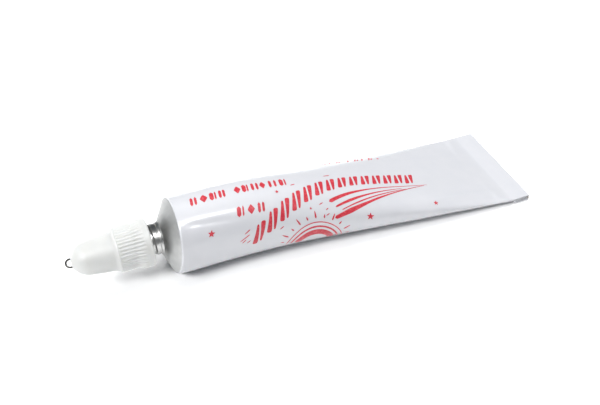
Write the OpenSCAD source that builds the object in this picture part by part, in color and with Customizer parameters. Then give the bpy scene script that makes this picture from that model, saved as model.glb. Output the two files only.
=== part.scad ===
// Collapsible aluminium tube of cement, lying on its side.
// +X runs along the tube from the nozzle to the folded tail, +Z is up,
// and the origin is on the surface it lies on, under the middle of its length.

/* [Tube] */
// Outside diameter of the round end
tube_d = 19; // [17:0.5:21]
// Length from the shoulder's rim to the end of the tail
body_len = 95; // [80:1:120]
// Thickness of the side wall
wall_t = 0.15; // [0.12:0.01:0.16]
// Lean of the shoulder's rim towards the tail, in degrees
rim_tilt = 8; // [0:0.5:9]
// Height of the rim's lowest point over the surface, where the wall behind it rests
rim_lift = 0.6; // [0:0.1:0.8]
// How evenly the tube narrows: 1 is a straight wedge, more is fuller
fullness = 1.2; // [1:0.05:1.6]
// Height by which the tube's middle stands above its even taper
swell = 2.1; // [0:0.1:2.3]
// How softly the top runs out into the fold: less is a sharper crease
run_out = 0.02; // [0.01:0.01:0.08]

/* [Tail fold] */
// Length of the strip that is folded under
fold_len = 5; // [4:0.5:7]
// Thickness of the flattened tube inside the fold
fold_t = 0.54; // [0.5:0.02:0.6]
// Gap between the layers of the fold
fold_gap = 0.08; // [0.05:0.01:0.15]

/* [Shoulder and neck] */
// Height of the cone between the rim and the neck
shoulder_h = 2.8; // [2.5:0.1:4]
// Thickness of the shoulder
shoulder_t = 0.7; // [0.5:0.05:0.9]
// Length of the neck outside the shoulder
neck_len = 7.6; // [7:0.1:8]
// Radius of the thread's crest
thread_r = 3.9; // [3.5:0.05:4]
// Depth of the thread
thread_depth = 0.35; // [0.2:0.05:0.45]
// Pitch of the thread
thread_pitch = 1.5; // [1.2:0.1:1.6]
// Radius of the passage through the neck
neck_bore_r = 2.2; // [1.5:0.1:2.4]

/* [Nozzle] */
// Stand-off of the collar from the top of the shoulder
collar_gap = 3; // [2.9:0.1:3.6]
// Length of the ribbed collar
collar_len = 8.4; // [7.8:0.1:9]
// Radius over the collar's ribs
rib_r = 5.5; // [5.3:0.05:5.6]
// Height of a rib
rib_h = 0.22; // [0.1:0.02:0.3]
// Number of ribs
rib_count = 40; // [24:2:48]
// Radius of the smooth flange behind the ribs
flange_r = 6; // [5.7:0.05:6.1]
// Width of the smooth flange
flange_w = 3.4; // [1.6:0.1:3.6]
// Radius of the nose where it leaves the collar
nose_base_r = 4.75; // [4.5:0.05:4.9]
// Radius of the nose where it rounds over to the tip
nose_front_r = 3.75; // [3.5:0.05:4]
// Length of the nose up to where it rounds over
nose_len = 8.15; // [7:0.05:12]
// Length of the tip's cone
tip_len = 1.75; // [1.5:0.05:2.5]
// Radius of the flat end of the tip
tip_r = 1.5; // [1.5:0.05:2]

/* [Closing pin] */
// Radius of the wire
wire_r = 0.22; // [0.18:0.01:0.24]
// Radius of the loop, to the middle of the wire
loop_r = 1.05; // [0.9:0.05:1.05]
// Length of the straight shank behind the loop
shank_len = 6.5; // [4:0.5:8]
// Roll of the loop about the nozzle, in degrees from level
loop_roll = 23; // [0:1:90]

/* [Hidden] */

// The round end and the shoulder
tube_r = tube_d / 2;
rim_z = rim_lift + tube_r * cos(rim_tilt);
neck_x = -shoulder_h * cos(rim_tilt);
neck_z = rim_z + shoulder_h * sin(rim_tilt);
neck_base_r = 4.1;
fillet_h = 0.9;
root_flare = 0.5;
fillet_start = -0.2;
neck_sink = 1;
mouth_edge = 0.15;
thread_start = 1.1;
plain_band = 0.3;
thread_turns = floor((neck_len - thread_start - plain_band) / thread_pitch);
neck_root_r = thread_r - thread_depth;

// The nozzle, measured along the neck from the top of the shoulder
collar_front = collar_gap + collar_len;
nose_step = 0.4;
nose_base = collar_front + nose_step;
nose_front = nose_base + nose_len;
tip_end = nose_front + tip_len;
// Way left to screw the nozzle on, until its seat meets the neck's mouth
screw_down = 2;
seat_gap = 0.05;
seat = neck_len + screw_down + seat_gap;
socket_gap = 0.08;
socket_r = thread_r + socket_gap;
groove_depth = 0.25;
groove_start = 1;
socket_turns = 3;
chamber_r = 2.8;
chamber_front_r = 2.1;
chamber_front = nose_front - 1;
channel_start = tip_end - 1.6;
channel_r = wire_r + socket_gap;

// The pin's loop sits in a round mouth in the tip
loop_out = 0.2;
loop_clear = 0.07;
mouth_r = loop_r + wire_r + loop_clear;

// The folded tail: layer heights and bends
fold_half = fold_t / 2;
layer_step = fold_t + fold_gap;
low_layer = fold_half;
mid_layer = low_layer + layer_step;
top_layer = mid_layer + layer_step;
outer_bend = layer_step;
inner_bend = layer_step / 2;
outer_bend_x = body_len - outer_bend - fold_half;
inner_bend_x = body_len - fold_len + inner_bend + fold_half;
strip_end_x = outer_bend_x - 0.2;
crimp_run = 0.5;
flat_x = body_len - fold_len - crimp_run;
// Stretches over which the section turns flat, the underside lifts to the fold,
// and the underside comes down from the rim
squeeze_len = 5;
lift_len = 60;
settle_len = 8;

// The whole object's middle, which the origin is under
front_x = neck_x - tip_end - loop_out - loop_r - wire_r;
mid_x = (front_x + body_len) / 2;

// Mesh counts of the side wall, and how much closer its rings are near the rim
sides = 40;
body_rings = 18;
bend_steps = 6;
ring_crowding = 1.25;
// Flatness of a section: 1 is an ellipse, more has flat faces above and below
end_flatness = 4;
// How fast the rim's lean dies out along the tube
lean_fade = 1.5;
// Between an ellipse (0) and a flat-sided form (1) for the widths
flat_share = 0.7;
ellipse_power = ln(2) / ln(PI / 2);

// The swell rises over the first third and fades towards the tail
swell_rise = 1.4;
swell_fall = 3.5;
swell_peak = pow(2 / 7, swell_rise) * pow(5 / 7, swell_fall);
function smooth(t) = let (c = min(1, max(0, t))) c * c * (3 - 2 * c);

// Half width of the tube at half thickness b, so that its girth stays the same
function half_width(b) =
    let (p = ellipse_power, flat = b + PI * (tube_r - b) / 2)
    flat_share * flat + (1 - flat_share) * pow(pow(PI * tube_r / 2, p) - pow(b, p), 1 / p);

// Underside, top and lean of the body at u, from 0 at the rim to 1 at the fold
function underside(u) =
    let (settle = max(0, 1 - u * flat_x / settle_len))
    rim_lift * settle * settle + (top_layer - fold_half) * smooth(1 - (1 - u) * flat_x / lift_len);
function top_height(u) =
    let (w = 1 - pow(u, fullness), low = top_layer + fold_half)
    low + (rim_z + tube_r * cos(rim_tilt) - low) * (1 + run_out) * w * w / (w + run_out)
        + swell * pow(u, swell_rise) * pow(1 - u, swell_fall) / swell_peak;
function lean(u) = rim_tilt * pow(1 - u, lean_fade);

// A station is [x, z, lean, half thickness, flatness]
function body_station(u) =
    let (low = underside(u), tilt = lean(u), b = (top_height(u) - low) / 2,
         squeeze = smooth(1 - (1 - u) * flat_x / squeeze_len))
    [flat_x * u, low + b, tilt, b / cos(tilt), 1 + (end_flatness - 1) * squeeze];
function bend_station(x, z, r, turn) =
    [x + r * sin(turn), z + r * cos(turn), turn, fold_half, end_flatness];

body_path = [for (i = [0 : body_rings]) body_station(1 - pow(1 - i / body_rings, ring_crowding))];
fold_path = concat(
    [for (i = [0 : bend_steps])
        bend_station(outer_bend_x, mid_layer, outer_bend, 180 * i / bend_steps)],
    [for (i = [0 : bend_steps])
        bend_station(inner_bend_x, (low_layer + mid_layer) / 2, inner_bend, 180 + 180 * i / bend_steps)],
    [[strip_end_x, mid_layer, 360, fold_half, end_flatness]]
);

// One ring of points: an ellipse at a station, cut flat by its flatness and drawn in by inset
function ring(st, inset, count) =
    let (b = st[3] - inset, a = half_width(st[3]) - inset)
    [for (k = [0 : count - 1])
        let (t = 360 * k / count, h = b * sign(sin(t)) * min(1, st[4] * abs(sin(t))))
        [st[0] + h * sin(st[2]), a * cos(t), st[1] + h * cos(st[2])]];

// A ring of a round passage, for the contents of the neck and the shoulder
function round_ring(x, z, tilt, r, count) =
    [for (k = [0 : count - 1])
        let (t = 360 * k / count)
        [x + r * sin(t) * sin(tilt), r * cos(t), z + r * sin(t) * cos(tilt)]];

function flatten(list) = [for (part = list) each part];
function skin(rings, count, first, flip) =
    flatten([for (i = [0 : rings - 2], k = [0 : count - 1])
        let (n = (k + 1) % count, a = first + i * count, b = a + count)
        flip ? [[a + k, b + k, b + n], [a + k, b + n, a + n]]
             : [[a + k, b + n, b + k], [a + k, a + n, b + n]]]);
function rim_faces(outer, inner, count, flip) =
    flatten([for (k = [0 : count - 1])
        let (n = (k + 1) % count)
        flip ? [[outer + k, inner + k, inner + n], [outer + k, inner + n, outer + n]]
             : [[outer + k, inner + n, inner + k], [outer + k, outer + n, inner + n]]]);

// A closed solid through rings of the same number of points
module loft(rings) {
    count = len(rings[0]);
    last = (len(rings) - 1) * count;
    polyhedron(
        points = flatten(rings),
        faces = concat(
            skin(len(rings), count, 0, false),
            [for (k = [1 : count - 2]) [0, k + 1, k]],
            [for (k = [1 : count - 2]) [last, last + k, last + k + 1]]
        ),
        convexity = 6
    );
}

module place() {
    translate([-mid_x, 0, 0]) children();
}
module on_rim() {
    place() translate([0, 0, rim_z]) rotate([0, rim_tilt - 90, 0]) children();
}
module on_neck() {
    place() translate([neck_x, 0, neck_z]) rotate([0, -90, 0]) children();
}
module turned(points) {
    rotate_extrude($fn = 96) polygon(points);
}

// The thin side wall: round at the rim, flattened and rolled under twice at the tail
module side_wall() {
    stations = concat(body_path, fold_path);
    total = len(stations);
    outer = [for (st = stations) ring(st, 0, sides)];
    inner = [for (st = stations) ring(st, wall_t, sides)];
    first_in = total * sides;
    last_out = (total - 1) * sides;
    color("whitesmoke") place() polyhedron(
        points = flatten(concat(outer, inner)),
        faces = concat(
            skin(total, sides, 0, false),
            skin(total, sides, first_in, true),
            rim_faces(0, first_in, sides, true),
            rim_faces(last_out, first_in + last_out, sides, false)
        ),
        convexity = 10
    );
}

// Profile of the neck with its thread's crests, from inside the shoulder to the mouth
flare_r = neck_base_r + root_flare;
neck_profile = concat(
    [[0, -neck_sink], [flare_r, -neck_sink], [flare_r, fillet_start]],
    [for (i = [0 : 6])
        let (t = 15 * i)
        [flare_r - (flare_r - neck_root_r) * sin(t), fillet_start + fillet_h * (1 - cos(t))]],
    flatten([for (i = [0 : thread_turns - 1])
        let (z = thread_start + i * thread_pitch)
        [[neck_root_r, z], [thread_r, z + 0.3 * thread_pitch],
         [thread_r, z + 0.45 * thread_pitch], [neck_root_r, z + 0.75 * thread_pitch]]]),
    [[neck_root_r, neck_len - mouth_edge], [neck_root_r - mouth_edge, neck_len], [0, neck_len]]
);

// The bare shoulder cone and the threaded neck that stands on it
module shoulder_neck() {
    edge_r = 0.4;
    inner_r = tube_r - 0.45;
    inner_h = shoulder_h - shoulder_t;
    color("silver") difference() {
        union() {
            on_rim() turned(concat(
                [[0, 0], [tube_r, 0]],
                [for (i = [0 : 3]) [tube_r - edge_r * (1 - cos(20 * i)), edge_r * sin(20 * i)]],
                [[neck_base_r, shoulder_h], [0, shoulder_h]]
            ));
            on_neck() turned(neck_profile);
        }
        on_rim() turned([
            [0, -1], [inner_r, -1], [inner_r, 0], [neck_bore_r + 0.6, inner_h], [0, inner_h]
        ]);
        on_neck() translate([0, 0, -shoulder_h])
            cylinder(r = neck_bore_r, h = shoulder_h + neck_len + 1, $fn = 64);
    }
}

// The soft band that seals the flattened tail from inside
module end_seal() {
    gap = 0.03;
    seal_stations = [for (st = concat([body_path[body_rings]], fold_path))
        [st[0], st[1], st[2], fold_half, end_flatness]];
    color("tan") place() loft([for (st = seal_stations) ring(st, wall_t + gap, 16)]);
}

// The cement, from the neck's mouth to the crimp
module cement_fill() {
    gap = 0.06;
    last_ring = 13;
    inner_h = shoulder_h - shoulder_t;
    neck_r = neck_bore_r - gap;
    mouth_x = neck_x - neck_len + 0.3;
    in_neck = [round_ring(mouth_x, neck_z, 0, neck_r, sides)];
    // Distance in front of the rim's plane, and radius
    shoulder_rings = [[inner_h - 0.1, neck_r], [inner_h - 0.2, neck_r + 0.5], [0.3, tube_r - 1.6]];
    in_shoulder = [for (part = shoulder_rings)
        round_ring(-part[0] * cos(rim_tilt), rim_z + part[0] * sin(rim_tilt), rim_tilt, part[1], sides)];
    in_body = [for (i = [1 : last_ring]) ring(body_path[i], wall_t + gap, sides)];
    color("khaki") place() loft(concat(in_neck, in_shoulder, in_body));
}

// Outline of the ribbed barrel
function rib_outline() = flatten([for (i = [0 : rib_count - 1])
    let (step = 360 / rib_count, low = rib_r - rib_h)
    [for (c = [[0, low], [0.28, low], [0.42, rib_r], [0.86, rib_r]])
        [c[1] * cos((i + c[0]) * step), c[1] * sin((i + c[0]) * step)]]]);

// The screw-on nozzle: ribbed collar, nose and tip, with a threaded socket inside
module nozzle() {
    low = rib_r - rib_h;
    edge = 0.25;
    lead_in = 0.3;
    groove_r = socket_r + groove_depth;
    flange_front = collar_gap + flange_w;
    ribs_start = flange_front - 0.4;
    ribs_end = collar_front - 0.5;
    color("white") on_neck() difference() {
        union() {
            turned([
                [0, collar_gap], [flange_r - edge, collar_gap], [flange_r, collar_gap + edge],
                [flange_r, flange_front - lead_in], [low, flange_front],
                [low, collar_front - lead_in], [low - lead_in, collar_front],
                [nose_base_r + 0.15, collar_front + 0.1], [nose_base_r, nose_base],
                [nose_front_r, nose_front], [nose_front_r - edge, nose_front + edge + 0.1],
                [tip_r + 0.15, tip_end - 0.1], [tip_r, tip_end], [0, tip_end]
            ]);
            translate([0, 0, ribs_start])
                linear_extrude(height = ribs_end - ribs_start) polygon(rib_outline());
        }
        turned(concat(
            [[0, collar_gap - 1], [socket_r + lead_in, collar_gap - 1],
             [socket_r + lead_in, collar_gap], [socket_r, collar_gap + lead_in]],
            flatten([for (i = [0 : socket_turns - 1])
                let (z = collar_gap + groove_start + i * thread_pitch)
                [[socket_r, z], [groove_r, z + 0.3 * thread_pitch],
                 [groove_r, z + 0.45 * thread_pitch], [socket_r, z + 0.75 * thread_pitch]]]),
            [[socket_r, seat], [chamber_r, seat], [chamber_front_r, chamber_front],
             [channel_r, channel_start], [channel_r, tip_end + 1], [0, tip_end + 1]]
        ));
        translate([0, 0, tip_end + loop_out]) sphere(r = mouth_r, $fn = 64);
    }
}

// The cement held in the nozzle's chamber, with the pin's hole down its middle
module nozzle_cement() {
    gap = 0.05;
    hole_r = wire_r + gap;
    front_r = 0.9;
    hole_end = tip_end + loop_out - loop_r - shank_len - 0.3;
    color("khaki") on_neck() turned([
        [0, seat + gap], [chamber_r - gap, seat + gap],
        [chamber_front_r - gap, chamber_front - gap], [front_r, channel_start - 1],
        [hole_r, channel_start - 1], [hole_r, hole_end], [0, hole_end]
    ]);
}

// The wire pin that closes the tip, with a loop to pull it by
module closing_pin() {
    color("dimgray") on_neck() translate([0, 0, tip_end + loop_out]) union() {
        rotate([0, 0, 90 - loop_roll]) rotate([90, 0, 0]) rotate_extrude($fn = 64)
            translate([loop_r, 0]) circle(r = wire_r, $fn = 32);
        translate([0, 0, -loop_r - shank_len]) cylinder(r = wire_r, h = shank_len, $fn = 32);
    }
}

side_wall();
shoulder_neck();
end_seal();
cement_fill();
nozzle();
nozzle_cement();
closing_pin();
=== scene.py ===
import math

import bpy
import numpy as np
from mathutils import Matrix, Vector, noise


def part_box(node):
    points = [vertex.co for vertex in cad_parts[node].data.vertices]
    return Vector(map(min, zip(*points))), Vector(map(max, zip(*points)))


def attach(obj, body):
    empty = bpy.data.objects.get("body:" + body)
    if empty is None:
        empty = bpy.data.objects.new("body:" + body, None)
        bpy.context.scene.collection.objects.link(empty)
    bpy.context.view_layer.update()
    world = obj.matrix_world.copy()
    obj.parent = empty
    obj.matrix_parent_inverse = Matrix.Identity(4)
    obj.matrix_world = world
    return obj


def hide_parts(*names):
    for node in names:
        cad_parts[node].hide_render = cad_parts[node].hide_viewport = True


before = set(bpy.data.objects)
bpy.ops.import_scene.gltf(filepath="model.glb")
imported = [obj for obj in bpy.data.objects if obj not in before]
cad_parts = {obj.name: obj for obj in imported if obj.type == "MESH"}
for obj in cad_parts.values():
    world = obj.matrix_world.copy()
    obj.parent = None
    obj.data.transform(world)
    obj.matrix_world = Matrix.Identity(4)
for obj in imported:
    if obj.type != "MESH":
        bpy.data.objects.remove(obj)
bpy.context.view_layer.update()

MM = 0.001

# ---------------------------------------------------------------- sizes, in mm
# The wall's round end, its length, its thickness and its distance round
TUBE_R = 9.5
BODY_LEN = 95.0
WALL_T = 0.15
GIRTH = 2 * math.pi * TUBE_R

# How the wall leans, comes down to the surface, lifts to the fold and narrows, and how much
# its width is that of a flat-sided form and of an oval
RIM_TILT = math.radians(8)
LEAN_FADE = 1.5
RIM_LIFT = 0.6
SETTLE_LEN = 8.0
LIFT_LEN = 60.0
FULLNESS = 1.2
RUN_OUT = 0.02
FLAT_SHARE = 0.7
OVAL_SHARE = 0.3

# The swell over the even taper stands highest two sevenths of the way to the fold
SWELL = 2.1
SWELL_RISE = 1.4
SWELL_FALL = 3.5
SWELL_PEAK = (2 / 7) ** SWELL_RISE * (5 / 7) ** SWELL_FALL

# Where the wall's section turns from an oval to a form with steeper sides, and how far
SQUARE_START = 25.0
SQUARE_RUN = 50.0
SQUARENESS = 0.5

# The tail, folded under twice
FOLD_LEN = 5.0
FOLD_HALF = 0.27
LAYER_STEP = 0.62
CRIMP_RUN = 0.5
SQUEEZE_LEN = 5.0
END_FLATNESS = 4.0
LOW_LAYER = FOLD_HALF
MID_LAYER = LOW_LAYER + LAYER_STEP
TOP_LAYER = MID_LAYER + LAYER_STEP
OUTER_BEND_X = BODY_LEN - LAYER_STEP - FOLD_HALF
INNER_BEND_X = BODY_LEN - FOLD_LEN + LAYER_STEP / 2 + FOLD_HALF
STRIP_END_X = OUTER_BEND_X - 0.2
FLAT_X = BODY_LEN - FOLD_LEN - CRIMP_RUN

# The enamel's rolled edge at the rim: its radius, the degrees round it where the paint ends and
# where it starts to be worn, and how worn
RIM_ROUND = 0.62
PAINT_END = 68
WEAR_START = 25
RIM_WEAR = 0.24

# The shoulder, whose own edge lies under the enamel, and how far it reaches inside the wall
SHOULDER_H = 2.8
SHOULDER_T = 0.7
EDGE_ROUND = 0.59
UNDER_PAINT = 0.03
SKIRT = 0.6

# Painted shade and reflection on the shoulder beside the neck: how dark, how near the neck, and the
# degrees round it from the near side upwards where it is darkest, where it ends and over which it fades
PAINTED_SHADE = 0.78
SHADE_R = 7.3
SHADE_RUN = 2.6
SHADE_AT = 38
SHADE_HALF = 64
SHADE_FADE = 42

# The neck: a plain foot, then a thread with its crests just clear of the nozzle's socket
NECK_LEN = 7.6
NECK_FOOT_R = 3.97
FOOT_END = 1.4
CREST_R = 3.85
NECK_ROOT_R = 3.55
NECK_BORE_R = 2.2
THREAD_PITCH = 1.5
CREST_SHARE = 0.75
FLANK_SHARE = 0.24
THREAD_FADE = 0.4

# The nozzle, measured along the neck from the top of the shoulder: the flange and the collar's
# ribs, the threaded socket up to its seat, the pin's channel and the tip
COLLAR_GAP = 3.0
FLANGE_R = 6.0
FLANGE_END = 4.5
RIB_ROOT_R = 5.28
RIBS_END = 10.85
RIB_COUNT = 40
STEPS_PER_RIB = 8
SOCKET_R = 3.98
SOCKET_END = 9.2
GROOVE_DEPTH = 0.2
GROOVE_SHIFT = 0.56
SEAT = 9.65
CHANNEL_R = 0.3
TIP_END = 21.7

# The closing pin, whose loop lies in a round mouth in the tip
WIRE_R = 0.25
LOOP_R = 1.05
LOOP_ROLL = math.radians(23)
SHANK_LEN = 6.5
LOOP_CENTRE = TIP_END + 0.2
MOUTH_R = 1.34

# Places that come from the CAD model: the nozzle's tip and axis, and the rim
nozzle_low, nozzle_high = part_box("nozzle")
AXIS_Z = (nozzle_low.z + nozzle_high.z) / 2 / MM
NECK_X = nozzle_low.x / MM + TIP_END
RIM_X = NECK_X + SHOULDER_H * math.cos(RIM_TILT)
RIM_Z = AXIS_Z - SHOULDER_H * math.sin(RIM_TILT)
NECK_FROM_RIM = NECK_X - RIM_X

# Mesh counts: points round the wall and its rings, which are closer near the rim
AROUND = 160
BODY_RINGS = 110
RING_CROWDING = 1.15


# ---------------------------------------------------------------- the wall's form
def smooth(t):
    """From 0 to 1 as t does, level at both ends and beyond them."""
    c = min(1.0, max(0.0, t))
    return c * c * (3 - 2 * c)


def half_width(b):
    """Half width of the wall at half thickness b, so that its distance round stays the same."""
    p = math.log(2) / math.log(math.pi / 2)
    flat = b + math.pi * (TUBE_R - b) / 2
    oval = ((math.pi * TUBE_R / 2) ** p - b**p) ** (1 / p)
    return FLAT_SHARE * flat + OVAL_SHARE * oval


def body_station(u):
    """x, z, lean, half thickness and flatness of the wall at u, 0 at the rim to 1 at the fold."""
    from_rim = u * FLAT_X
    to_fold = (1 - u) * FLAT_X
    settle = max(0.0, 1 - from_rim / SETTLE_LEN)
    low = RIM_LIFT * settle**2 + (TOP_LAYER - FOLD_HALF) * smooth(1 - to_fold / LIFT_LEN)
    w = 1 - u**FULLNESS
    end = TOP_LAYER + FOLD_HALF
    rise = RIM_Z + TUBE_R * math.cos(RIM_TILT) - end
    swell = SWELL * u**SWELL_RISE * (1 - u) ** SWELL_FALL / SWELL_PEAK
    top = end + rise * (1 + RUN_OUT) * w * w / (w + RUN_OUT) + swell
    lean = RIM_TILT * (1 - u) ** LEAN_FADE
    b = (top - low) / 2
    flatness = 1 + (END_FLATNESS - 1) * smooth(1 - to_fold / SQUEEZE_LEN)
    return from_rim, low + b, lean, b / math.cos(lean), flatness


def bend_station(x, z, r, turn):
    """The same five values for the flattened wall, at a turn round a bend of the fold."""
    return x + r * math.sin(turn), z + r * math.cos(turn), turn, FOLD_HALF, END_FLATNESS


# Slow waves and fine ripples of the soft wall, which die out towards its stiff rim and fold
WAVE_H = 0.075
RIPPLE_H = 0.018
STIFF_RIM = 6.0
STIFF_FOLD = 14.0

# Marks left by fingers: place along and round the wall, half sizes, height and slant
DENTS = (
    (7.6, 7.1, 4.6, 0.62, -0.16, 0.11),
    (3.2, 6.5, 0.8, 0.5, -0.12, 0.1),
    (9.0, 5.3, 5.5, 1.1, 0.035, 0.11),
    (61.0, 9.0, 9.0, 2.4, -0.09, -0.08),
    (73.0, 10.6, 14.0, 1.3, 0.17, 0.0),
    (76.0, 3.0, 7.0, 3.5, -0.07, 0.2),
    (30.0, -8.0, 8.0, 2.6, -0.10, 0.1),
    (52.0, -13.0, 7.0, 2.2, -0.12, -0.15),
)


def dent(s, w):
    """How far the soft wall stands out (+) or in (-) at s along and w round it, in mm."""
    loose = smooth(s / STIFF_RIM) * smooth((FLAT_X - s) / STIFF_FOLD)
    wave = noise.noise(Vector((s * 0.085, w * 0.11, 3.7)))
    ripple = noise.noise(Vector((s * 0.26, w * 0.19, 9.1)))
    d = loose * (WAVE_H * wave + RIPPLE_H * ripple)
    for s0, w0, half_s, half_w, height, slant in DENTS:
        e = ((s - s0) / half_s) ** 2 + ((w - w0 - slant * (s - s0)) / half_w) ** 2
        # past this the mark is too faint to matter
        if e < 12:
            d += height * math.exp(-e)
    return d


def section(station, inset=0.0, count=AROUND):
    """One ring of the wall: points, outward directions, and the way round from its top."""
    x, z, lean, half, flat = station
    b = half - inset
    a = half_width(half) - inset
    t = np.arange(count) * 2 * math.pi / count
    # the sides get steeper and the faces flatter towards the tail
    power = 2 / (2 + SQUARENESS * smooth((x - SQUARE_START) / SQUARE_RUN))
    rise = np.abs(np.sin(t)) ** power
    h = b * np.sign(np.sin(t)) * np.minimum(1, flat * rise)
    y = a * np.sign(np.cos(t)) * np.abs(np.cos(t)) ** power
    ny = np.roll(h, -1) - np.roll(h, 1)
    nh = np.roll(y, 1) - np.roll(y, -1)
    size = np.maximum(np.hypot(ny, nh), 1e-9)
    ny, nh = ny / size, nh / size
    steps = np.hypot(np.diff(np.append(y, y[0])), np.diff(np.append(h, h[0])))
    run = np.concatenate([[0], np.cumsum(steps)])
    top = run[count // 4]
    w = (run[:-1] - top) * GIRTH / run[-1]
    w = np.where(w > GIRTH / 2, w - GIRTH, w)
    points = np.stack([x + h * math.sin(lean), y, z + h * math.cos(lean)], 1)
    out = np.stack([nh * math.sin(lean), ny, nh * math.cos(lean)], 1)
    return points, out, w


# The outer face as a table, at even steps along the wall and round it
TABLE_STEP = 0.25
TABLE_WAYS = np.linspace(-GIRTH / 2, GIRTH / 2, 481)


def wall_table():
    """Points and outward directions of the outer face at the table's steps."""
    rows = []
    for i in range(int(FLAT_X / TABLE_STEP) + 1):
        points, out, ways = section(body_station(i * TABLE_STEP / FLAT_X), 0, 720)
        order = np.argsort(ways)
        both = np.hstack([points, out])[order]
        rows.append([np.interp(TABLE_WAYS, ways[order], both[:, k], period=GIRTH) for k in range(6)])
    return np.array(rows)


WALL = wall_table()


def on_wall(s, w, lift):
    """The point at s along and w round the outer face, lifted off it, in mm from the rim."""
    i, j = s / TABLE_STEP, (w + GIRTH / 2) / (TABLE_WAYS[1] - TABLE_WAYS[0])
    a, b = int(i), int(j)
    i, j = i - a, j - b
    v = ((1 - i) * (1 - j) * WALL[a, :, b] + i * (1 - j) * WALL[a + 1, :, b]
         + (1 - i) * j * WALL[a, :, b + 1] + i * j * WALL[a + 1, :, b + 1])
    return v[:3] + v[3:] / np.linalg.norm(v[3:]) * (dent(s, w) + lift)


# ---------------------------------------------------------------- meshes
def place(points):
    """From mm, measured along the tube from the rim, to the frame in metres."""
    return (np.asarray(points, float) + [RIM_X, 0, 0]) * MM


def piece(name, points, faces, body, materials, stands_for=()):
    """A smooth closed mesh that faces outwards, moves with a body and may stand for CAD nodes."""
    mesh = bpy.data.meshes.new(name)
    mesh.from_pydata([tuple(p) for p in place(points)], [], faces)
    mesh.validate()
    v = np.array([c.co for c in mesh.vertices])
    volume = 0.0
    for f in mesh.polygons:
        i = f.vertices
        for k in range(1, len(i) - 1):
            volume += np.dot(v[i[0]], np.cross(v[i[k]], v[i[k + 1]]))
    # a negative volume means that the faces look inwards
    if volume < 0:
        mesh.flip_normals()
    mesh.polygons.foreach_set("use_smooth", [True] * len(mesh.polygons))
    ob = bpy.data.objects.new(name, mesh)
    bpy.context.scene.collection.objects.link(ob)
    for m in materials:
        mesh.materials.append(m)
    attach(ob, body)
    if stands_for:
        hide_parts(*stands_for)
    return ob


def grid_faces(rings, count, wrap):
    """Quads between rings of count points, each closed; wrap also joins the last to the first."""
    faces = []
    for i in range(rings if wrap else rings - 1):
        a, b = i * count, (i + 1) % rings * count
        for k in range(count):
            n = (k + 1) % count
            faces.append((a + k, a + n, b + n, b + k))
    return faces


def rounded(corners, steps=5, longest=0.8):
    """A line through (along, radius, cut) corners, each rounded off over its cut."""
    line = []
    for i, (s, r, cut) in enumerate(corners):
        p = np.array([s, r])
        if cut and 0 < i < len(corners) - 1:
            before = np.array(corners[i - 1][:2]) - p
            after = np.array(corners[i + 1][:2]) - p
            a = p + before / np.linalg.norm(before) * cut
            b = p + after / np.linalg.norm(after) * cut
            for t in np.linspace(0, 1, steps + 1):
                line.append((1 - t) ** 2 * a + 2 * t * (1 - t) * p + t * t * b)
        else:
            line.append(p)
    out = [line[0]]
    for q in line[1:]:
        n = max(1, math.ceil(np.linalg.norm(q - out[-1]) / longest))
        start = out[-1]
        out += [start + (q - start) * k / n for k in range(1, n + 1)]
    return np.array(out)


# ---------------------------------------------------------------- materials
def new_material(name, **values):
    """A principled material, its node tree, shader and object coordinates."""
    m = bpy.data.materials.new(name)
    m.use_nodes = True
    tree = m.node_tree
    shader = tree.nodes["Principled BSDF"]
    for key, value in values.items():
        shader.inputs[key.replace("_", " ")].default_value = value
    coords = tree.nodes.new("ShaderNodeTexCoord").outputs["Object"]
    return m, tree, shader, coords


def feed(tree, socket, value):
    """Set a shader socket to a constant, or link another node's output to it."""
    if isinstance(value, bpy.types.NodeSocket):
        tree.links.new(value, socket)
    else:
        socket.default_value = value


def stretched(tree, coords, scale):
    node = tree.nodes.new("ShaderNodeMapping")
    node.inputs["Scale"].default_value = scale
    tree.links.new(coords, node.inputs["Vector"])
    return node.outputs["Vector"]


def noise_of(tree, coords, scale, detail=3.0, rough=0.5):
    node = tree.nodes.new("ShaderNodeTexNoise")
    node.inputs["Scale"].default_value = scale
    node.inputs["Detail"].default_value = detail
    node.inputs["Roughness"].default_value = rough
    tree.links.new(coords, node.inputs["Vector"])
    return node.outputs["Fac"]


def attribute_of(tree, name):
    node = tree.nodes.new("ShaderNodeAttribute")
    node.attribute_name = name
    return node.outputs["Fac"]


def ramp(tree, fac, stops):
    """A colour that changes with a factor, through (place, colour) stops."""
    node = tree.nodes.new("ShaderNodeValToRGB")
    while len(node.color_ramp.elements) < len(stops):
        node.color_ramp.elements.new(0.5)
    for e, (at, color) in zip(node.color_ramp.elements, stops):
        e.position = at
        e.color = (*color, 1)
    tree.links.new(fac, node.inputs["Fac"])
    return node.outputs["Color"]


def level(tree, fac, low, high, start=0.3, end=0.7):
    """A value that goes from low to high while a factor goes from start to end."""
    node = tree.nodes.new("ShaderNodeMapRange")
    for key, value in (("From Min", start), ("From Max", end), ("To Min", low), ("To Max", high)):
        node.inputs[key].default_value = value
    tree.links.new(fac, node.inputs["Value"])
    return node.outputs["Result"]


def math_node(tree, what, a, b):
    node = tree.nodes.new("ShaderNodeMath")
    node.operation = what
    feed(tree, node.inputs[0], a)
    feed(tree, node.inputs[1], b)
    return node.outputs[0]


def mixed(tree, factor, a, b, how="MIX"):
    """Colour b laid over colour a by a factor."""
    node = tree.nodes.new("ShaderNodeMix")
    node.data_type = "RGBA"
    node.blend_type = how
    feed(tree, node.inputs["Factor"], factor)
    feed(tree, node.inputs["A"], a)
    feed(tree, node.inputs["B"], b)
    return node.outputs["Result"]


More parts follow.
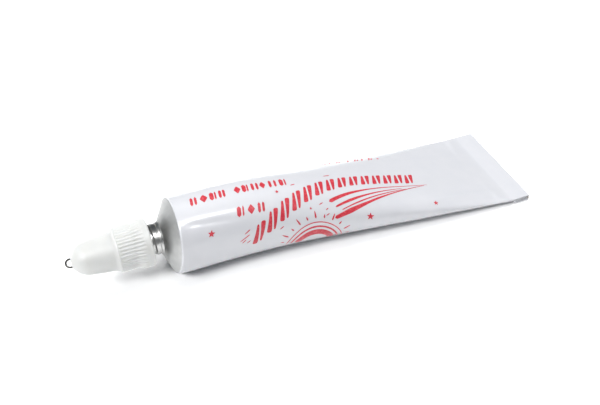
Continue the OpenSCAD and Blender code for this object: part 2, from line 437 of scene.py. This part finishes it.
def bump(tree, shader, height, distance, strength=1.0, under=None):
    """Bump of a height in metres, over the bump that may already be there."""
    node = tree.nodes.new("ShaderNodeBump")
    node.inputs["Distance"].default_value = distance
    node.inputs["Strength"].default_value = strength
    tree.links.new(height, node.inputs["Height"])
    if under is not None:
        tree.links.new(under, node.inputs["Normal"])
    tree.links.new(node.outputs["Normal"], shader.inputs["Normal"])
    return node.outputs["Normal"]


def dress(tree, shader, color, roughness):
    tree.links.new(color, shader.inputs["Base Color"])
    tree.links.new(roughness, shader.inputs["Roughness"])


def enamel():
    """Glossy white enamel, rubbed through to the metal where the attribute 'bare' says."""
    m, tree, shader, coords = new_material("white_enamel", Coat_Weight=0.25, Coat_Roughness=0.12)
    paint = ramp(tree, noise_of(tree, coords, 260, 4),
                 [(0.3, (0.462, 0.467, 0.492)), (0.7, (0.478, 0.481, 0.503))])
    smudge = ramp(tree, noise_of(tree, coords, 30, 2), [(0.2, (0.99, 0.99, 0.992)), (0.8, (1, 1, 1))])
    white = mixed(tree, 0.7, paint, smudge, "MULTIPLY")
    ragged = level(tree, noise_of(tree, coords, 2600, 4, 0.7), -0.35, 0.35)
    worn = level(tree, math_node(tree, "ADD", attribute_of(tree, "bare"), ragged), 0, 1, 0.45, 0.6)
    metal = (0.43, 0.41, 0.38, 1)
    dress(tree, shader, mixed(tree, worn, white, metal),
          level(tree, noise_of(tree, coords, 60, 2), 0.262, 0.274, 0.2, 0.8))
    tree.links.new(worn, shader.inputs["Metallic"])
    bump(tree, shader, noise_of(tree, coords, 900, 2), 0.000003, 0.3)
    return m


def ink():
    """Red ink, slightly mottled and starved in places."""
    m, tree, shader, coords = new_material("red_ink", Specular_IOR_Level=0.4)
    red = ramp(tree, noise_of(tree, coords, 1500, 5, 0.65), [
        (0.28, (0.33, 0.013, 0.025)), (0.5, (0.41, 0.026, 0.04)),
        (0.66, (0.47, 0.058, 0.072)), (0.78, (0.51, 0.18, 0.19))])
    dress(tree, shader, red, level(tree, noise_of(tree, coords, 500, 3), 0.3, 0.5))
    bump(tree, shader, noise_of(tree, coords, 2400, 3), 0.00001, 0.5)
    return m


def satin_aluminium():
    """The bare shoulder: satin, mottled and faintly turned, with painted shade and reflection darkening it
    near the neck where its shade attribute says.
    """
    m, tree, shader, coords = new_material("satin_aluminium", Metallic=1.0)
    clean = ramp(tree, noise_of(tree, coords, 700, 5, 0.7),
                 [(0.3, (0.445, 0.452, 0.452)), (0.7, (0.53, 0.535, 0.53))])
    cloudy = level(tree, noise_of(tree, coords, 500, 4), 0.75, 1.0)
    # painted shade and reflection: the metal's colour is mixed towards near-black beside the neck
    painted_shade_mix = math_node(tree, "MULTIPLY", attribute_of(tree, "painted_shade"), cloudy)
    dark = (0.05, 0.05, 0.048, 1)
    dress(tree, shader, mixed(tree, painted_shade_mix, clean, dark),
          level(tree, noise_of(tree, coords, 1400, 4, 0.7), 0.42, 0.58))
    grain = bump(tree, shader, noise_of(tree, coords, 3600, 4, 0.7), 0.00001, 0.8)
    marks = stretched(tree, coords, (9000, 250, 250))
    bump(tree, shader, noise_of(tree, marks, 1, 2), 0.000004, 0.5, grain)
    return m


def turned_aluminium():
    """The neck: shiny, with turning marks round it."""
    m, tree, shader, coords = new_material("turned_aluminium", Metallic=1.0)
    lines = noise_of(tree, stretched(tree, coords, (14000, 300, 300)), 1, 3, 0.6)
    metal = ramp(tree, lines, [(0.3, (0.4, 0.4, 0.395)), (0.7, (0.54, 0.54, 0.53))])
    dress(tree, shader, metal, level(tree, lines, 0.3, 0.4))
    marks = bump(tree, shader, lines, 0.000006, 0.5)
    bump(tree, shader, noise_of(tree, coords, 1200, 2), 0.00002, 0.5, marks)
    return m


def polythene():
    """Translucent white moulded plastic."""
    m, tree, shader, coords = new_material("white_polythene", Subsurface_Weight=0.8,
                                           Subsurface_Scale=0.003, IOR=1.5)
    shader.inputs["Subsurface Radius"].default_value = (1.0, 0.95, 0.85)
    white = ramp(tree, noise_of(tree, coords, 240, 3),
                 [(0.3, (0.478, 0.483, 0.476)), (0.7, (0.5, 0.504, 0.496))])
    dress(tree, shader, white, level(tree, noise_of(tree, coords, 600, 4), 0.4, 0.48))
    grain = bump(tree, shader, noise_of(tree, coords, 1500, 3), 0.000006, 0.6)
    flow = stretched(tree, coords, (60, 500, 500))
    bump(tree, shader, noise_of(tree, flow, 1, 2), 0.00003, 0.3, grain)
    return m


def wire_steel():
    """Dull drawn wire."""
    m, tree, shader, coords = new_material("steel_wire", Metallic=1.0)
    metal = ramp(tree, noise_of(tree, coords, 2500, 4, 0.7),
                 [(0.3, (0.045, 0.043, 0.04)), (0.75, (0.13, 0.127, 0.12))])
    dress(tree, shader, metal, level(tree, noise_of(tree, coords, 5000, 3), 0.28, 0.45))
    bump(tree, shader, noise_of(tree, coords, 6000, 3), 0.000006, 0.6)
    return m


def soft_stuff(name, dark, light, rough, scale):
    """Latex or cement: an even, slightly cloudy mass."""
    m, tree, shader, coords = new_material(name, Subsurface_Weight=0.2, Subsurface_Scale=0.001)
    dress(tree, shader, ramp(tree, noise_of(tree, coords, scale, 4), [(0.3, dark), (0.7, light)]),
          level(tree, noise_of(tree, coords, scale * 3, 3), rough, rough + 0.15))
    bump(tree, shader, noise_of(tree, coords, scale * 5, 3), 0.00003, 0.5)
    return m


ENAMEL, INK, SATIN, TURNED = enamel(), ink(), satin_aluminium(), turned_aluminium()
POLYTHENE, WIRE = polythene(), wire_steel()
LATEX = soft_stuff("dried_latex", (0.50, 0.38, 0.19), (0.62, 0.50, 0.28), 0.6, 500)
CEMENT = soft_stuff("clear_cement", (0.62, 0.50, 0.22), (0.74, 0.63, 0.34), 0.12, 160)
for node, material in (("end_seal", LATEX), ("cement_fill", CEMENT), ("nozzle_cement", CEMENT)):
    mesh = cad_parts[node].data
    mesh.materials.clear()
    mesh.materials.append(material)


# ---------------------------------------------------------------- side wall
def rim_rings():
    """Rings of enamel that roll over the shoulder's edge and end on its face, and their wear."""
    t = np.arange(AROUND) * 2 * math.pi / AROUND
    rings, bare = [], []
    for degrees in (PAINT_END, 60, 50, 40, 30, 20, 10):
        turn = math.radians(degrees)
        ahead = RIM_ROUND * math.sin(turn)
        r = np.full(AROUND, TUBE_R - RIM_ROUND * (1 - math.cos(turn)))
        if degrees == PAINT_END:
            # a slightly uneven end to the paint
            r -= [0.05 * noise.noise(Vector((math.cos(a) * 3, math.sin(a) * 3, 0.5))) for a in t]
        x = -ahead * math.cos(RIM_TILT) + r * np.sin(t) * math.sin(RIM_TILT)
        z = RIM_Z + ahead * math.sin(RIM_TILT) + r * np.sin(t) * math.cos(RIM_TILT)
        rings.append(np.stack([x, r * np.cos(t), z], 1))
        # worn thin in spots along the rim
        bare.append(np.full(AROUND, RIM_WEAR if degrees > WEAR_START else 0.0))
    return rings, bare


def fold_stations():
    """Two bends, the second inside the first, and the end of the folded strip."""
    stations = [bend_station(OUTER_BEND_X, MID_LAYER, LAYER_STEP, turn)
                for turn in np.linspace(0, math.pi, 17)]
    stations += [bend_station(INNER_BEND_X, (LOW_LAYER + MID_LAYER) / 2, LAYER_STEP / 2, turn)
                 for turn in np.linspace(math.pi, 2 * math.pi, 15)]
    return stations + [bend_station(STRIP_END_X, MID_LAYER, 0, 2 * math.pi)]


def corner_wear(points):
    """Bare metal at the corners of the last fold."""
    corner_start, corner_run, bend_run = 14.1, 0.5, 0.4
    corner = np.clip((np.abs(points[:, 1]) - corner_start) / corner_run, 0, 1)
    return corner * smooth((points[0, 0] - OUTER_BEND_X - 0.2) / bend_run)


def build_wall():
    rings, bare = rim_rings()
    body = [body_station(1 - (1 - i / BODY_RINGS) ** RING_CROWDING) for i in range(BODY_RINGS + 1)]
    inner = []
    for i, station in enumerate(body + fold_stations()):
        points, out, ways = section(station)
        inside, inside_out, _ = section(station, WALL_T)
        worn = np.zeros(AROUND)
        if i < len(body):
            push = np.array([dent(station[0], w) for w in ways])[:, None]
            points = points + out * push
            inside = inside + inside_out * push
        else:
            worn = corner_wear(points)
        rings.append(points)
        inner.append(inside)
        bare.append(worn)
    # back along the inside, to the rim
    rings += inner[::-1]
    bare += [np.zeros(AROUND)] * len(inner)
    ob = piece("tube_wall", np.concatenate(rings), grid_faces(len(rings), AROUND, True),
               "tube", [ENAMEL], ["side_wall"])
    attribute = ob.data.attributes.new("bare", "FLOAT", "POINT")
    attribute.data.foreach_set("value", np.concatenate(bare).astype(np.float32))
    return ob


# ---------------------------------------------------------------- shoulder and neck
def thread_height(turn, s, start, end):
    """0 between the threads to 1 on a crest, for a right-hand thread from start to end."""
    phase = (s / THREAD_PITCH - turn / (2 * math.pi)) % 1.0
    rise = np.clip(np.minimum(phase, CREST_SHARE - phase) / FLANK_SHARE, 0, 1)
    inside = np.clip((s - start) / THREAD_FADE, 0, 1) * np.clip((end - s) / THREAD_FADE, 0, 1)
    return rise * rise * (3 - 2 * rise) * inside


def painted_shade(point):
    """How dark the painted shade and reflection make the shoulder at a point: most on one side of the neck's
    foot.
    """
    across, high = point.y / MM, point.z / MM - AXIS_Z
    angle = math.degrees(math.atan2(high, -across))
    near_neck = smooth((SHADE_R - math.hypot(across, high)) / SHADE_RUN)
    return PAINTED_SHADE * near_neck * smooth((SHADE_HALF - abs(angle - SHADE_AT)) / SHADE_FADE)


def build_shoulder():
    count = 144
    turn = np.arange(count) * 2 * math.pi / count

    def ring(q, r):
        """Ring of radius r at q along the neck; before 0 it stands on the leaning shoulder."""
        # the lean dies out over the neck's foot
        lean = RIM_TILT * smooth((0.9 - q) / 1.6)
        if q < 0:
            x = (-SHOULDER_H - q) * math.cos(RIM_TILT)
            z = RIM_Z + (SHOULDER_H + q) * math.sin(RIM_TILT)
        else:
            x = NECK_FROM_RIM - q
            z = AXIS_Z
        up = r * np.cos(turn)
        return np.stack([x + up * math.sin(lean), r * np.sin(turn), z + up * math.cos(lean)], 1)

    # From inside the wall, round the shoulder's edge and down its cone to the neck's plain foot
    edge_r = TUBE_R - UNDER_PAINT - EDGE_ROUND
    edge = [(EDGE_ROUND * math.sin(a) - SHOULDER_H, edge_r + EDGE_ROUND * math.cos(a))
            for a in np.radians([0, 13, 26, 39, 52, 64])]
    cone = rounded([(*edge[-1], 0), (-0.4, 5.65, 0.6), (0.3, NECK_FOOT_R, 0.1), (0.9, NECK_FOOT_R, 0.1),
                    (1.02, CREST_R - 0.07, 0.1), (FOOT_END, CREST_R, 0)], 6, 0.35)
    rings = [ring(q, r) for q, r in [(-SHOULDER_H - SKIRT, 9.3), *edge, *cone[1:]]]
    for q in np.arange(FOOT_END + 0.06, NECK_LEN - 0.15, 0.07):
        crest = thread_height(turn, q, 0, NECK_LEN - 0.3)
        # the thread runs out into a plain band next to the shoulder
        groove = (CREST_R - NECK_ROOT_R) * (1 - crest) * smooth((q - FOOT_END - 0.3) / 0.8)
        rings.append(ring(q, CREST_R - groove))
    # Over the neck's mouth, down its bore and back under the cone
    mouth = rounded([(NECK_LEN - 0.14, NECK_ROOT_R, 0), (NECK_LEN, NECK_ROOT_R - 0.05, 0.08),
                     (NECK_LEN, NECK_BORE_R, 0.1), (NECK_LEN - 1, NECK_BORE_R, 0)], 4, 0.4)
    bore = [(q, NECK_BORE_R) for q in np.linspace(NECK_LEN - 2, -0.6, 10)]
    under = [(-SHOULDER_T, NECK_BORE_R + 0.6), (-SHOULDER_H + 0.05, 8.95), (-SHOULDER_H - SKIRT, 9.05)]
    rings += [ring(q, r) for q, r in [*mouth, *bore, *under]]
    ob = piece("shoulder_and_neck", np.concatenate(rings), grid_faces(len(rings), count, True),
               "tube", [SATIN, TURNED], ["shoulder_neck"])
    # the neck is bright from its foot to its mouth
    foot = (NECK_X - 0.45) * MM
    for f in ob.data.polygons:
        if f.center.x < foot:
            f.material_index = 1
    # painted shade and reflection beside the neck's foot, stored on each point
    attribute = ob.data.attributes.new("painted_shade", "FLOAT", "POINT")
    attribute.data.foreach_set("value", np.array([painted_shade(v.co) for v in ob.data.vertices], np.float32))
    return ob


# ---------------------------------------------------------------- nozzle
def build_nozzle():
    count = RIB_COUNT * STEPS_PER_RIB
    turn = np.arange(count) * 2 * math.pi / count
    # 0 between the ribs to 1 on a rib, with broad crests
    crest = (0.5 - 0.5 * np.cos(RIB_COUNT * turn)) ** 0.75
    rings = []

    def ring(s, r):
        x = np.full(count, NECK_FROM_RIM - s)
        rings.append(np.stack([x, r * np.sin(turn), AXIS_Z + r * np.cos(turn)], 1))

    # Outside: the flange, the ribbed collar, the bead at its end, the nose and the flat tip
    flange = [(COLLAR_GAP, SOCKET_R + 0.3, 0), (COLLAR_GAP, FLANGE_R, 0.45), (FLANGE_END, FLANGE_R, 0.4)]
    collar = [(7.2, RIB_ROOT_R, 0.5), (10.7, RIB_ROOT_R, 0.08)]
    bead = [(RIBS_END, 5.44, 0.1), (11.2, 5.38, 0.28), (11.85, 4.86, 0.3)]
    nose = [(12.4, 4.72, 0.2), (15.5, 4.4, 1.5), (19.7, 3.8, 1.6), (21.5, 1.75, 0.35)]
    tip = [(TIP_END, MOUTH_R + 0.08, 0.08), (TIP_END, MOUTH_R - 0.01, 0)]
    for s, r in rounded(flange + collar + bead + nose + tip, 8, 0.45):
        if FLANGE_END < s < RIBS_END and r < FLANGE_R - 0.01:
            # the ribs run up on to the flange, where they stand higher, and end at the bead
            fade = min(1, (s - FLANGE_END) / 0.6, (RIBS_END - s) / 0.2)
            rib_h = 0.2 + 0.16 * smooth((7.4 - s) / 1.4)
            ring(s, np.minimum(FLANGE_R, r + rib_h * crest * fade))
        else:
            ring(s, np.full(count, r))
    # Inside: the pin's mouth, its channel, the chamber, the seat and the threaded socket
    for a in np.radians([74, 64, 54, 44, 34, 24, 14]):
        ring(LOOP_CENTRE - MOUTH_R * math.cos(a), np.full(count, MOUTH_R * math.sin(a)))
    bore = rounded([(20.59, CHANNEL_R, 0), (20.1, CHANNEL_R, 0.05), (18.95, 2.1, 0.4), (SEAT, 2.8, 0.1),
                    (SEAT, SOCKET_R, 0.1), (SOCKET_END, SOCKET_R, 0)], 4, 0.9)
    for s, r in bore:
        ring(s, np.full(count, r))
    socket_mouth = COLLAR_GAP + 0.3
    for s in np.arange(SOCKET_END - 0.1, socket_mouth + 0.05, -0.09):
        # the shift sets the socket's ridges between the neck's crests
        groove = GROOVE_DEPTH * (1 - thread_height(turn, s + GROOVE_SHIFT, 0, 30))
        fade = min(1, (SOCKET_END - s) / THREAD_FADE, (s - socket_mouth + 0.05) / THREAD_FADE)
        ring(s, SOCKET_R + groove * fade)
    ring(socket_mouth, np.full(count, SOCKET_R))
    return piece("nozzle_shell", np.concatenate(rings), grid_faces(len(rings), count, True),
                 "nozzle", [POLYTHENE], ["nozzle"])


# ---------------------------------------------------------------- closing pin
def curve_through(points):
    """A smooth line through points, with one more point in each gap."""
    ends = np.vstack([2 * points[0] - points[1], points, 2 * points[-1] - points[-2]])
    line = []
    for p0, p1, p2, p3 in zip(ends, ends[1:], ends[2:], ends[3:]):
        for t in (0.0, 0.5):
            line.append(0.5 * (2 * p1 + (p2 - p0) * t + (2 * p0 - 5 * p1 + 4 * p2 - p3) * t * t
                               + (3 * p1 - p0 - 3 * p2 + p3) * t**3))
    line.append(points[-1])
    return np.array(line)


def build_pin():
    # In the loop's own plane: along the nozzle's axis outwards, and across it
    flat = [(-LOOP_R - SHANK_LEN + 0.4 * i, 0.0) for i in range(16)]
    flat += [(-LOOP_R - 0.26, 0.0), (-LOOP_R - 0.1, 0.03), (-LOOP_R + 0.015, 0.13)]
    flat += [(-LOOP_R * math.cos(a), LOOP_R * math.sin(a)) for a in np.radians(np.arange(20, 347, 6))]
    line = curve_through(np.array(flat))
    along = np.array([-1.0, 0, 0])
    across = np.array([0, math.cos(LOOP_ROLL), math.sin(LOOP_ROLL)])
    side = np.cross(along, across)
    centre = np.array([NECK_FROM_RIM - LOOP_CENTRE, 0, AXIS_Z])
    path = centre + line[:, :1] * along + line[:, 1:] * across
    ways = np.gradient(path, axis=0)
    ways /= np.linalg.norm(ways, axis=1)[:, None]
    count = 16
    a = np.arange(count)[:, None] * 2 * math.pi / count
    rings = [p + WIRE_R * (np.cos(a) * side + np.sin(a) * np.cross(way, side)) for p, way in zip(path, ways)]

    def end_ring(i, step):
        """A smaller ring just past an end of the wire, which is slightly rounded."""
        return path[i] + ways[i] * step + 0.86 * (rings[i] - path[i])

    rings = [end_ring(0, -0.03), *rings, end_ring(-1, 0.03)]
    faces = grid_faces(len(rings), count, False)
    faces.append(tuple(range(count))[::-1])
    faces.append(tuple(range((len(rings) - 1) * count, len(rings) * count)))
    return piece("pin_wire", np.concatenate(rings), faces,
                 "closing_pin", [WIRE], ["closing_pin"])


# ---------------------------------------------------------------- printed ornament
# How far the ink stands over the enamel, and how far its hidden underside lies in it
INK_TOP, INK_FOOT = 0.022, -0.03
# Longest step of the mesh in a stripe and in a four-cornered shape
STRIPE_STEP, QUAD_STEP = 0.45, 0.3


class Print:
    """Thin closed shapes of ink on the wall, drawn in mm along and round it."""

    def __init__(self):
        self.points, self.faces = [], []

    def grid(self, across, along, at):
        """A sheet of (across + 1) by (along + 1) points at(i, j), as a closed thin slab."""
        base = len(self.points)
        n = along + 1
        spots = [at(i / across, j / along) for i in range(across + 1) for j in range(n)]
        for lift in (INK_TOP, INK_FOOT):
            self.points += [on_wall(s, w, lift) for s, w in spots]
        low = base + len(spots)
        for i in range(across):
            for j in range(along):
                a, b, c, d = i * n + j, i * n + j + 1, (i + 1) * n + j + 1, (i + 1) * n + j
                self.faces.append((base + a, base + d, base + c, base + b))
                self.faces.append((low + a, low + b, low + c, low + d))
        edge = list(range(along)) + [i * n + along for i in range(across)]
        edge += [across * n + j for j in range(along, 0, -1)] + [i * n for i in range(across, 0, -1)]
        for a, b in zip(edge, edge[1:] + edge[:1]):
            self.faces.append((base + a, base + b, low + b, low + a))

    def stripe(self, line, widths, across=2):
        """A round-ended stripe along a line of (s, w) points, with widths spread along it."""
        line = np.array(line, float)
        run = np.concatenate([[0], np.cumsum(np.linalg.norm(np.diff(line, axis=0), axis=1))])
        steps = max(3, math.ceil(run[-1] / STRIPE_STEP))
        t = run / run[-1]
        # a few points stand for a smooth curve, and two or many are joined straight
        powers = min(3, len(line) - 1)
        curved = 3 <= len(line) <= 8

        def middle(v):
            if curved:
                return np.array([np.polyval(np.polyfit(t, line[:, k], powers), v) for k in range(2)])
            return np.array([np.interp(v, t, line[:, k]) for k in range(2)])

        def at(i, j):
            p = middle(j)
            d = middle(min(1, j + 0.01)) - middle(max(0, j - 0.01))
            d = d / np.linalg.norm(d)
            width = np.interp(j, t if len(widths) == len(t) else np.linspace(0, 1, len(widths)), widths)
            # round ends: how far from the nearer end, in half widths
            end = min(j, 1 - j) * run[-1] / max(width / 2, 1e-6)
            width *= math.sqrt(max(0.03, 1 - max(0, 1 - end) ** 2))
            return p + np.array([-d[1], d[0]]) * width * (i - 0.5)

        self.grid(across, steps, at)

    def quad(self, corners):
        """A shape with four soft corners: top left, top right, bottom right, bottom left."""
        c = np.array(corners, float)

        def at(i, j):
            a, b = 2 * i - 1, 2 * j - 1
            # pull the corners in a little, so that they are round
            k = 1 - 0.10 * (abs(a) * abs(b)) ** 4
            i2, j2 = (a * k + 1) / 2, (b * k + 1) / 2
            return (1 - j2) * ((1 - i2) * c[0] + i2 * c[1]) + j2 * ((1 - i2) * c[3] + i2 * c[2])

        size = max(np.linalg.norm(c[0] - c[3]), np.linalg.norm(c[1] - c[2]))
        wide = max(np.linalg.norm(c[0] - c[1]), np.linalg.norm(c[2] - c[3]))
        self.grid(max(3, math.ceil(wide / QUAD_STEP)), max(4, math.ceil(size / QUAD_STEP)), at)

    def star(self, s, w, r):
        """A plain five-pointed star, turned a little."""
        inner, turn = 0.42, 0.2
        base = len(self.points)
        count = 20
        spots = [(s, w)]
        for share in (0.5, 1.0):
            for k in range(count):
                a = turn + 2 * math.pi * k / count
                phase = (k % 4) / 4
                out = 1 - (1 - inner) * (1 - abs(2 * phase - 1))
                # halfway between a point and a notch, the edge is drawn in to stay straight
                straight = out if phase in (0, 0.5) else (2 * inner / (1 + inner)) * 1.02
                spots.append((s + share * r * straight * math.sin(a), w - share * r * straight * math.cos(a)))
        for lift in (INK_TOP, INK_FOOT):
            self.points += [on_wall(*p, lift) for p in spots]
        low = base + len(spots)
        for k in range(count):
            a, b = 1 + k, 1 + (k + 1) % count
            c, d = b + count, a + count
            self.faces.append((base, base + a, base + b))
            self.faces.append((low, low + b, low + a))
            self.faces.append((base + a, base + d, base + c, base + b))
            self.faces.append((low + a, low + b, low + c, low + d))
            self.faces.append((base + d, low + d, low + c, base + c))

    def lozenge(self, s, w, wide, high, slant=0.0):
        half = high / 2
        self.quad([(s + slant, w - half), (s + wide / 2, w), (s - slant, w + half), (s - wide / 2, w)])

    def mark(self, s, w, wide, high, kind):
        """One mark of a row: 0 a lozenge, 1 two leaning strokes alike, 2 one bold and one fine."""
        if kind == 0:
            self.lozenge(s, w, wide * 1.05, high * 1.05, 0.15)
        else:
            bold, fine = (0.72, 0.62) if kind == 1 else (1.05, 0.42)
            for shift, width in ((-0.27, bold), (0.3, fine)):
                x = s + shift * wide
                self.stripe([(x - 0.2, w + high / 2), (x + 0.2, w - high / 2)], [width, width])


def print_rows(p):
    """Two short rows of small marks, given as place along, width and kind."""
    for s, wide, kind in ((4.6, 1.8, 1), (7.2, 2.0, 0), (9.7, 1.7, 2), (11.9, 1.7, 1), (15.9, 1.8, 0),
                          (18.1, 1.6, 2), (20.5, 2.1, 1), (22.6, 1.6, 0), (25.3, 2.4, 1), (28.2, 1.9, 2)):
        p.mark(s, 0.75 - 0.03 * s, wide, 2.6, kind)
    for s, kind in ((15.0, 2), (17.6, 0), (20.2, 1)):
        p.mark(s, 6.25, 1.9, 2.5, kind)


def print_band(p):
    """A rising band of bold wedges in pairs, which gets lower towards the tail."""
    lean = 0.55
    for i in range(14):
        s = 18.8 + 3.6 * i - 0.035 * max(0, i - 6) ** 2
        near = max(0.0, 1 - (s - 18.9) / 30)
        w = 1.4 + 11 * near**2 + 0.003 * max(0.0, s - 49) ** 2
        h = (3.5 + 1.7 * smooth((50 - s) / 30)) / 2
        for side, foot, top in ((-0.72, 1.35, 0.55), (0.72, 0.5, 1.3)):
            x = s + side
            middle = w - 0.5 * near * side
            p.quad([(x + lean - top / 2, middle - h), (x + lean + top / 2, middle - h),
                    (x - lean + foot / 2, middle + h), (x - lean - foot / 2, middle + h)])


def print_trails(p):
    """Four tapered trails that run together."""
    p.stripe([(38.0, 7.5), (43.0, 6.0), (50.5, 4.9), (58.5, 4.8), (68.0, 5.0)],
             [1.0, 0.85, 0.35, 0.22, 0.12], 3)
    p.stripe([(38.4, 11.9), (43.0, 10.6), (48.5, 8.9), (56.0, 7.1), (67.0, 5.2)],
             [0.9, 1.3, 0.7, 0.35, 0.12], 3)
    p.stripe([(39.2, 9.1), (44.0, 7.7), (50.0, 6.5), (60.0, 5.6)], [0.5, 0.75, 0.4, 0.12])
    p.stripe([(40.6, 10.1), (46.0, 8.5), (53.0, 7.0), (61.0, 5.9)], [0.25, 0.4, 0.3, 0.1])


def print_sun(p):
    """A half sun low on the side: three arcs, and long and short rays in turn."""

    def at(r, a):
        return 33.4 + r * math.sin(a), 19.6 - r * math.cos(a)

    for r, width in ((4.4, 1.7), (6.1, 0.5), (7.3, 0.28)):
        arc = [at(r, a) for a in np.radians(np.arange(-84, 85, 4))]
        p.stripe(arc, [width, width], 5 if width > 1 else 2)
    for i in range(-5, 6):
        a = math.radians(15 * i)
        p.stripe([at(8.3, a), at(10.3 if i % 2 == 0 else 9.4, a)], [0.55, 0.2])


def print_small(p):
    """Short speed strokes, stars, and a faint row towards the far side."""
    for a, b in (((15.0, 12.0), (16.5, 11.0)), ((13.8, 13.8), (16.3, 12.3)), ((14.3, 14.4), (15.4, 13.5)),
                 ((15.5, 14.7), (16.5, 14.0)), ((23.9, 12.6), (25.0, 11.9)), ((29.6, 1.4), (31.0, 1.1)),
                 ((35.0, 8.0), (36.2, 7.5)), ((39.9, -1.2), (41.8, -1.4)), ((36.4, 9.6), (37.2, 9.1)),
                 ((36.2, 11.0), (37.2, 10.5))):
        p.stripe([a, b], [0.22, 0.3])
    for s, w, r in ((6.9, 9.7, 0.95), (25.4, 2.9, 0.55), (47.8, 12.8, 1.05),
                    (67.0, 11.8, 0.7), (32.6, 8.6, 0.4)):
        p.star(s, w, r)
    for i in range(16):
        s = 22.6 + 2.15 * i + (1.4 if i > 6 else 0) + (1.2 if i > 11 else 0)
        p.stripe([(s - 0.45, -8.2), (s + 0.4, -9.9)], [0.42, 0.42])
        if i % 2:
            p.stripe([(s + 0.3, -8.3), (s + 1.0, -9.4)], [0.4, 0.4])
    p.lozenge(60.0, -8.7, 0.8, 0.8)


def build_print():
    p = Print()
    for draw in (print_rows, print_band, print_trails, print_sun, print_small):
        draw(p)
    ob = piece("red_print", p.points, p.faces, "tube", [INK])
    ob.data.polygons.foreach_set("use_smooth", [False] * len(ob.data.polygons))
    return ob


build_wall()
build_shoulder()
build_nozzle()
build_pin()
build_print()


# ---------------------------------------------------------------- floor, light and camera
def direction(azimuth, elevation):
    """Unit vector from the origin, with azimuth 0 towards -Y and 90 towards +X."""
    a, e = math.radians(azimuth), math.radians(elevation)
    return Vector((math.sin(a) * math.cos(e), -math.cos(a) * math.cos(e), math.sin(e)))


def build_floor():
    """A white card just under the tube, in squares."""
    size, n, drop = 1.6, 16, 0.04 * MM
    mesh = bpy.data.meshes.new("floor")
    steps = [(-0.5 + i / n) * size for i in range(n + 1)]
    points = [(x, y, -drop) for y in steps for x in steps]
    corners = [(j * (n + 1) + i, (j + 1) * (n + 1) + i) for j in range(n) for i in range(n)]
    mesh.from_pydata(points, [], [(a, a + 1, b + 1, b) for a, b in corners])
    ob = bpy.data.objects.new("floor", mesh)
    bpy.context.scene.collection.objects.link(ob)
    m, tree, shader, coords = new_material("white_card")
    base = ramp(tree, noise_of(tree, coords, 300, 4),
                [(0.3, (0.935, 0.935, 0.935)), (0.7, (0.955, 0.955, 0.955))])
    card = tree.nodes.new("ShaderNodeBsdfDiffuse")
    tree.links.new(base, card.inputs["Color"])
    tree.links.new(card.outputs["BSDF"], tree.nodes["Material Output"].inputs["Surface"])
    tree.nodes.remove(shader)
    mesh.materials.append(m)


def soft_box(name, azimuth, elevation, distance, size, power):
    """A white rectangular lamp that faces the origin."""
    data = bpy.data.lights.new(name, "AREA")
    data.shape = "RECTANGLE"
    data.size, data.size_y = size
    data.energy = power
    ob = bpy.data.objects.new(name, data)
    out = direction(azimuth, elevation)
    ob.location = out * distance
    ob.rotation_mode = "QUATERNION"
    ob.rotation_quaternion = (-out).to_track_quat("-Z", "Y")
    bpy.context.scene.collection.objects.link(ob)
    return ob


def build_lights():
    """A lamp on the left, a broad one above and behind, and two small ones for bright edges."""
    soft_box("left_lamp", -67, 46, 1.4, (0.4, 0.4), 19.0)
    broad = soft_box("broad_lamp", 150, 68, 1.0, (1.0, 0.8), 15.8)
    broad.visible_glossy = False
    for glint in (soft_box("high_glint", -6, 69, 0.6, (0.36, 0.12), 2.4),
                  soft_box("left_glint", -57, 20, 0.6, (0.1, 0.1), 0.35)):
        glint.visible_diffuse = False


def build_world():
    """A dim room that looks as pale as the floor past the floor's edge."""
    world = bpy.data.worlds.new("soft_room")
    world.use_nodes = True
    tree = world.node_tree
    dim = tree.nodes["Background"]
    dim.inputs["Color"].default_value = (0.82, 0.91, 1.0, 1)
    dim.inputs["Strength"].default_value = 0.125
    pale = tree.nodes.new("ShaderNodeBackground")
    pale.inputs["Color"].default_value = (1, 1, 1, 1)
    seen = tree.nodes.new("ShaderNodeLightPath").outputs["Is Camera Ray"]
    either = tree.nodes.new("ShaderNodeMixShader")
    for socket, value in zip(either.inputs, (seen, dim.outputs[0], pale.outputs[0])):
        tree.links.new(value, socket)
    tree.links.new(either.outputs[0], tree.nodes["World Output"].inputs["Surface"])
    bpy.context.scene.world = world


def build_camera():
    """The camera, in mm to the right, up and back from the point on the surface under the rim."""
    rightwards, upwards, backwards = 30.76, 15.24, 202.08
    back = direction(-23.25, 42.46)
    right = Vector((0, 0, 1)).cross(back).normalized()
    up = back.cross(right)
    place_at = right * rightwards + up * upwards + back * backwards + Vector((RIM_X, 0, 0))
    data = bpy.data.cameras.new("camera")
    data.sensor_width = 36
    data.lens = 48.46
    data.clip_start, data.clip_end = 0.01, 10
    ob = bpy.data.objects.new("camera", data)
    ob.location = place_at * MM
    ob.rotation_mode = "QUATERNION"
    ob.rotation_quaternion = (-back).to_track_quat("-Z", "Y")
    bpy.context.scene.collection.objects.link(ob)
    bpy.context.scene.camera = ob


build_floor()
build_lights()
build_world()
build_camera()
bpy.context.scene.view_settings.view_transform = "Standard"
